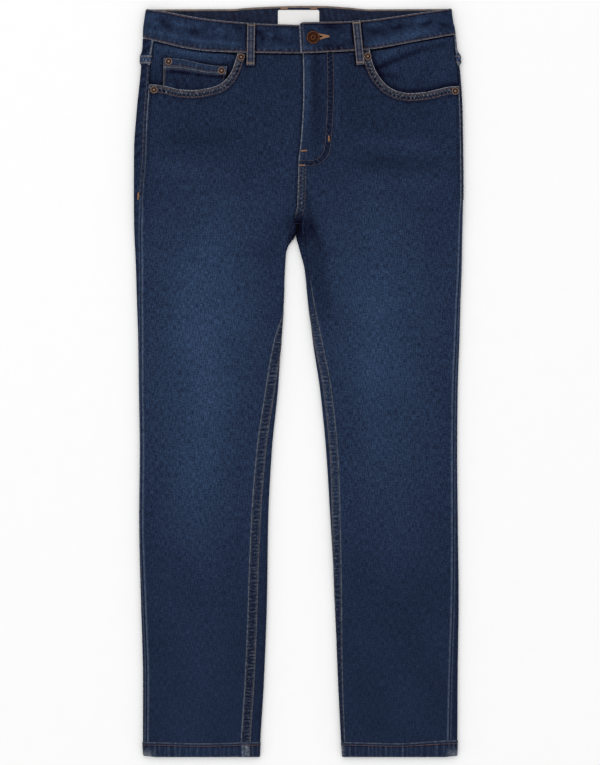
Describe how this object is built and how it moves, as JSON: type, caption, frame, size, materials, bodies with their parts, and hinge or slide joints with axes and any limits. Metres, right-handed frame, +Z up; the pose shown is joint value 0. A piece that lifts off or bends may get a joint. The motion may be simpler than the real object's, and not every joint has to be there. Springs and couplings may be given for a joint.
{
  "type": "straight leg jeans",
  "caption": "Straight leg denim jeans lying flat on their back, with a buttoned waistband, scooped front pockets, a coin pocket, belt loops and plain leg openings.",
  "frame": {"origin": "on the surface the jeans lie on, under the middle of their outline", "axes": "+Z up out of the surface and towards the front panels, +Y from the leg openings towards the waist, +X towards the wearer's left"},
  "size_m": [0.439, 1, 0.0121],
  "materials": {
    "denim": "indigo stretch denim twill, softly faded",
    "denim_band": "indigo stretch denim twill, darker at the waistband and belt loops",
    "copper": "antique copper plated brass",
    "label_tape": "bare white woven tape"
  },
  "bodies": {
    "root": {"front_right": "denim", "front_left": "denim", "back_right": "denim", "back_left": "denim", "yoke_right": "denim", "yoke_left": "denim", "waistband": "denim_band", "facing_right": "denim", "facing_left": "denim", "coin_pocket": "denim", "back_pocket_right": "denim", "back_pocket_left": "denim", "belt_loop_front_right": "denim_band", "belt_loop_front_left": "denim_band", "belt_loop_side_right": "denim_band", "belt_loop_side_left": "denim_band", "belt_loop_back": "denim_band", "label": "label_tape", "rivet_1": "copper", "rivet_2": "copper", "rivet_3": "copper", "rivet_4": "copper", "rivet_5": "copper", "rivet_6": "copper", "button": "copper"}
  },
  "joints": []
}
